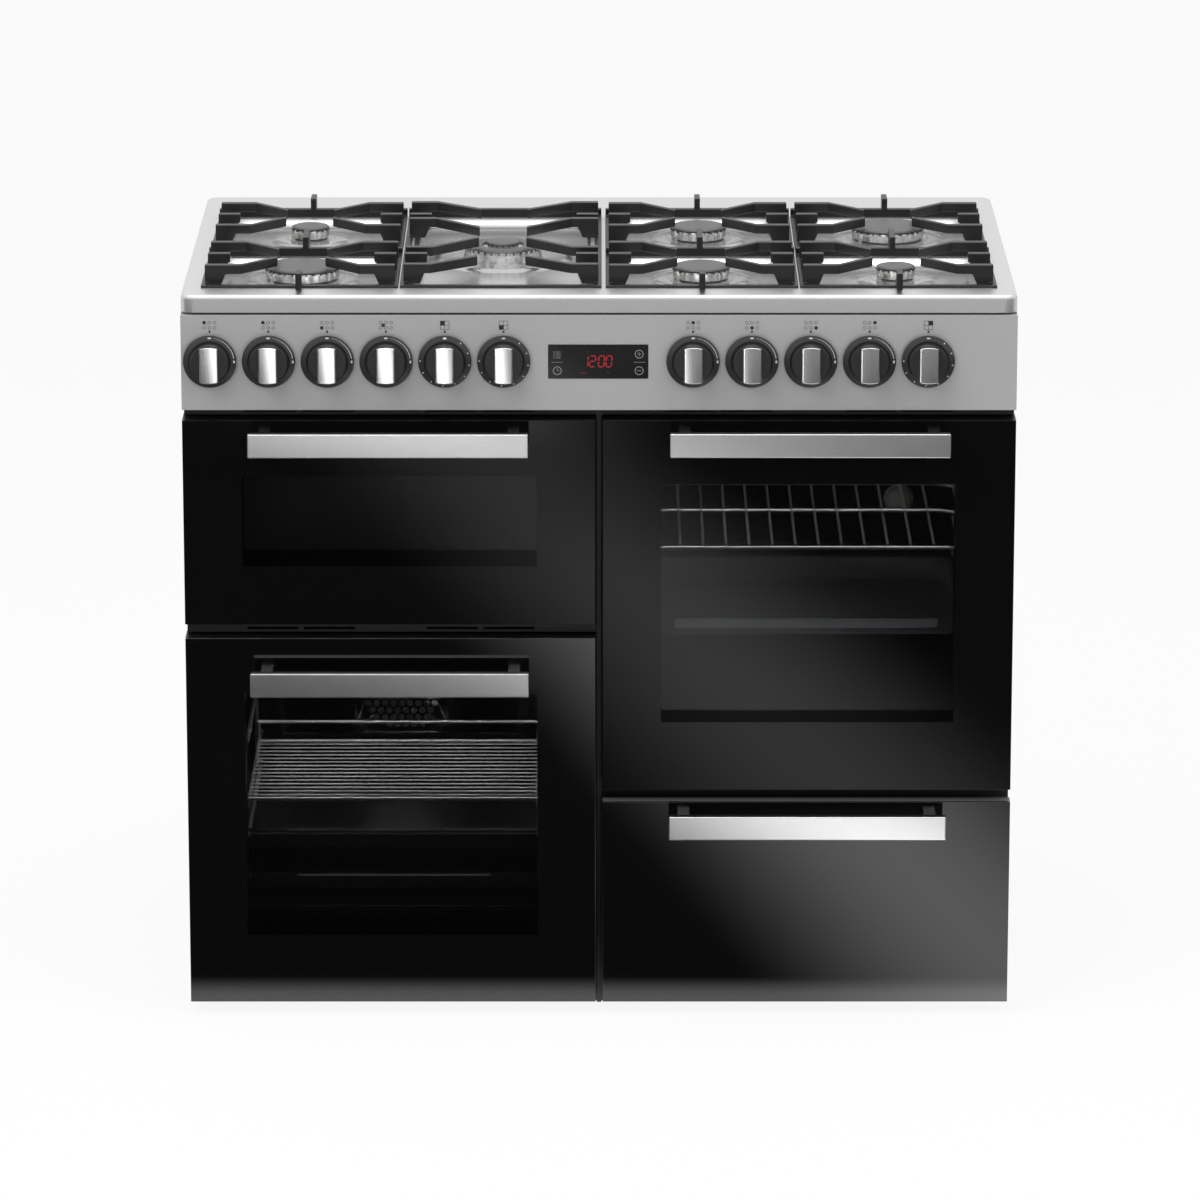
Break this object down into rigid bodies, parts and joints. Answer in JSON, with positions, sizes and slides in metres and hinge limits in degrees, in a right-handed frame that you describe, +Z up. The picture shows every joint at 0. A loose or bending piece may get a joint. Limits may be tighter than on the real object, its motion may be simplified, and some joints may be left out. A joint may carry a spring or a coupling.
{
  "type": "range cooker",
  "caption": "Free-standing dual-fuel range cooker with gas burners on a steel hob, cast pan supports, a knob panel with a clock, drop-down oven doors and a storage drawer.",
  "frame": {"origin": "on the floor, at the middle of the bounding box in plan", "axes": "+Z up, +Y towards the wall behind the cooker, +X to the right of a person who faces it; the doors face -Y"},
  "size_m": [1, 0.645, 0.924],
  "materials": {
    "panel_steel": "satin",
    "hob_steel": "satin",
    "handle_steel": "satin",
    "black_window_glass": "gloss",
    "black_front_glass": "gloss",
    "display_glass": "gloss",
    "black_paint": "satin",
    "grey_paint": "matte",
    "galvanised_sheet": "matte",
    "foot_plastic": "matte",
    "support_iron": "satin",
    "crown_metal": "matte",
    "cap_enamel": "satin",
    "knob_plastic": "satin",
    "spindle_brass": "satin",
    "tap_metal": "matte",
    "control_housing": "matte",
    "oven_enamel": "gloss",
    "seal_rubber": "matte",
    "wire_chrome": "gloss",
    "element_metal": "matte",
    "fan_metal": "satin",
    "cover_enamel": "gloss",
    "lamp_glass": "gloss"
  },
  "bodies": {
    "cooker": {"side_panels": "black_paint", "back_panel": "galvanised_sheet", "base_pan": "galvanised_sheet", "levelling_feet": "foot_plastic", "front_frame": "galvanised_sheet", "front_fittings": "black_paint", "control_panel": "panel_steel", "display_glass": "display_glass", "hob_top": "hob_steel", "burner_crowns": "crown_metal", "burner_caps": "cap_enamel", "gas_manifold": "tap_metal", "electrical_units": "control_housing", "grill_cavity": "oven_enamel", "fan_oven_cavity": "oven_enamel", "main_oven_cavity": "oven_enamel", "door_seals": "seal_rubber", "heating_elements": "element_metal", "fan_cover": "cover_enamel", "side_racks": "wire_chrome", "wire_shelves": "wire_chrome", "oven_trays": "oven_enamel", "oven_lamps": "lamp_glass", "drawer_runners": "galvanised_sheet"},
    "grill_door": {"grill_door_frame": "black_paint", "grill_door_glass": "black_window_glass", "grill_door_handle": "handle_steel"},
    "fan_oven_door": {"fan_oven_door_frame": "black_paint", "fan_oven_door_glass": "black_window_glass", "fan_oven_door_handle": "handle_steel"},
    "main_oven_door": {"main_oven_door_frame": "black_paint", "main_oven_door_glass": "black_window_glass", "main_oven_door_handle": "handle_steel"},
    "storage_drawer": {"drawer_glass": "black_front_glass", "drawer_handle": "handle_steel", "drawer_box": "grey_paint"},
    "pan_support_1": {"pan_support_1": "support_iron"},
    "pan_support_2": {"pan_support_2": "support_iron"},
    "pan_support_3": {"pan_support_3": "support_iron"},
    "pan_support_4": {"pan_support_4": "support_iron"},
    "gas_spindle_1": {"gas_spindle_1": "spindle_brass"},
    "gas_knob_1": {"gas_knob_1": "knob_plastic"},
    "gas_spindle_2": {"gas_spindle_2": "spindle_brass"},
    "gas_knob_2": {"gas_knob_2": "knob_plastic"},
    "gas_spindle_3": {"gas_spindle_3": "spindle_brass"},
    "gas_knob_3": {"gas_knob_3": "knob_plastic"},
    "gas_spindle_4": {"gas_spindle_4": "spindle_brass"},
    "gas_knob_4": {"gas_knob_4": "knob_plastic"},
    "gas_spindle_5": {"gas_spindle_5": "spindle_brass"},
    "gas_knob_5": {"gas_knob_5": "knob_plastic"},
    "gas_spindle_6": {"gas_spindle_6": "spindle_brass"},
    "gas_knob_6": {"gas_knob_6": "knob_plastic"},
    "gas_spindle_7": {"gas_spindle_7": "spindle_brass"},
    "gas_knob_7": {"gas_knob_7": "knob_plastic"},
    "gas_spindle_8": {"gas_spindle_8": "spindle_brass"},
    "gas_knob_8": {"gas_knob_8": "knob_plastic"},
    "oven_knob_1": {"oven_knob_1": "knob_plastic"},
    "oven_knob_2": {"oven_knob_2": "knob_plastic"},
    "oven_knob_3": {"oven_knob_3": "knob_plastic"},
    "fan_impeller": {"fan_impeller": "fan_metal"}
  },
  "joints": [
    {"name": "grill_door_hinge", "type": "hinge", "parent": "cooker", "child": "grill_door", "pos_m": [-0.25212, -0.2655, 0.5038], "axis": [1, 0, 0], "range_deg": [0, 90], "stiffness_Nm_per_rad": 2, "springref_deg": -11.46},
    {"name": "fan_oven_door_hinge", "type": "hinge", "parent": "cooker", "child": "fan_oven_door", "pos_m": [-0.25212, -0.2655, 0.0255], "axis": [1, 0, 0], "range_deg": [0, 84], "stiffness_Nm_per_rad": 4, "springref_deg": -11.46},
    {"name": "main_oven_door_hinge", "type": "hinge", "parent": "cooker", "child": "main_oven_door", "pos_m": [0.25212, -0.2655, 0.2958], "axis": [1, 0, 0], "range_deg": [0, 90], "stiffness_Nm_per_rad": 4, "springref_deg": -11.46},
    {"name": "storage_drawer_slide", "type": "slide", "parent": "cooker", "child": "storage_drawer", "axis": [0, -1, 0], "range_m": [0, 0.33]},
    {"name": "gas_knob_1_push", "type": "slide", "parent": "cooker", "child": "gas_spindle_1", "axis": [0, 1, 0], "range_m": [0, 0.003], "stiffness_N_per_m": 500, "springref_m": -0.002},
    {"name": "gas_knob_1_turn", "type": "hinge", "parent": "gas_spindle_1", "child": "gas_knob_1", "pos_m": [-0.4653, -0.2775, 0.8201], "axis": [0, -1, 0], "range_deg": [0, 210]},
    {"name": "gas_knob_2_push", "type": "slide", "parent": "cooker", "child": "gas_spindle_2", "axis": [0, 1, 0], "range_m": [0, 0.003], "stiffness_N_per_m": 500, "springref_m": -0.002},
    {"name": "gas_knob_2_turn", "type": "hinge", "parent": "gas_spindle_2", "child": "gas_knob_2", "pos_m": [-0.39505, -0.2775, 0.8201], "axis": [0, -1, 0], "range_deg": [0, 210]},
    {"name": "gas_knob_3_push", "type": "slide", "parent": "cooker", "child": "gas_spindle_3", "axis": [0, 1, 0], "range_m": [0, 0.003], "stiffness_N_per_m": 500, "springref_m": -0.002},
    {"name": "gas_knob_3_turn", "type": "hinge", "parent": "gas_spindle_3", "child": "gas_knob_3", "pos_m": [-0.3248, -0.2775, 0.8201], "axis": [0, -1, 0], "range_deg": [0, 210]},
    {"name": "gas_knob_4_push", "type": "slide", "parent": "cooker", "child": "gas_spindle_4", "axis": [0, 1, 0], "range_m": [0, 0.003], "stiffness_N_per_m": 500, "springref_m": -0.002},
    {"name": "gas_knob_4_turn", "type": "hinge", "parent": "gas_spindle_4", "child": "gas_knob_4", "pos_m": [-0.25455, -0.2775, 0.8201], "axis": [0, -1, 0], "range_deg": [0, 210]},
    {"name": "gas_knob_5_push", "type": "slide", "parent": "cooker", "child": "gas_spindle_5", "axis": [0, 1, 0], "range_m": [0, 0.003], "stiffness_N_per_m": 500, "springref_m": -0.002},
    {"name": "gas_knob_5_turn", "type": "hinge", "parent": "gas_spindle_5", "child": "gas_knob_5", "pos_m": [0.1124, -0.2775, 0.8201], "axis": [0, -1, 0], "range_deg": [0, 210]},
    {"name": "gas_knob_6_push", "type": "slide", "parent": "cooker", "child": "gas_spindle_6", "axis": [0, 1, 0], "range_m": [0, 0.003], "stiffness_N_per_m": 500, "springref_m": -0.002},
    {"name": "gas_knob_6_turn", "type": "hinge", "parent": "gas_spindle_6", "child": "gas_knob_6", "pos_m": [0.18265, -0.2775, 0.8201], "axis": [0, -1, 0], "range_deg": [0, 210]},
    {"name": "gas_knob_7_push", "type": "slide", "parent": "cooker", "child": "gas_spindle_7", "axis": [0, 1, 0], "range_m": [0, 0.003], "stiffness_N_per_m": 500, "springref_m": -0.002},
    {"name": "gas_knob_7_turn", "type": "hinge", "parent": "gas_spindle_7", "child": "gas_knob_7", "pos_m": [0.2529, -0.2775, 0.8201], "axis": [0, -1, 0], "range_deg": [0, 210]},
    {"name": "gas_knob_8_push", "type": "slide", "parent": "cooker", "child": "gas_spindle_8", "axis": [0, 1, 0], "range_m": [0, 0.003], "stiffness_N_per_m": 500, "springref_m": -0.002},
    {"name": "gas_knob_8_turn", "type": "hinge", "parent": "gas_spindle_8", "child": "gas_knob_8", "pos_m": [0.32315, -0.2775, 0.8201], "axis": [0, -1, 0], "range_deg": [0, 210]},
    {"name": "oven_knob_1_turn", "type": "hinge", "parent": "cooker", "child": "oven_knob_1", "pos_m": [-0.1843, -0.2775, 0.8201], "axis": [0, 1, 0], "range_deg": [0, 290]},
    {"name": "oven_knob_2_turn", "type": "hinge", "parent": "cooker", "child": "oven_knob_2", "pos_m": [-0.11405, -0.2775, 0.8201], "axis": [0, 1, 0], "range_deg": [0, 290]},
    {"name": "oven_knob_3_turn", "type": "hinge", "parent": "cooker", "child": "oven_knob_3", "pos_m": [0.3934, -0.2775, 0.8201], "axis": [0, 1, 0], "range_deg": [0, 290]},
    {"name": "pan_support_1_lift", "type": "slide", "parent": "cooker", "child": "pan_support_1", "axis": [0, 0, 1], "range_m": [0, 0.06]},
    {"name": "pan_support_2_lift", "type": "slide", "parent": "cooker", "child": "pan_support_2", "axis": [0, 0, 1], "range_m": [0, 0.06]},
    {"name": "pan_support_3_lift", "type": "slide", "parent": "cooker", "child": "pan_support_3", "axis": [0, 0, 1], "range_m": [0, 0.06]},
    {"name": "pan_support_4_lift", "type": "slide", "parent": "cooker", "child": "pan_support_4", "axis": [0, 0, 1], "range_m": [0, 0.06]},
    {"name": "fan_impeller_spin", "type": "hinge", "parent": "cooker", "child": "fan_impeller", "pos_m": [-0.25212, 0.186, 0.294], "axis": [0, 1, 0], "continuous": true}
  ]
}
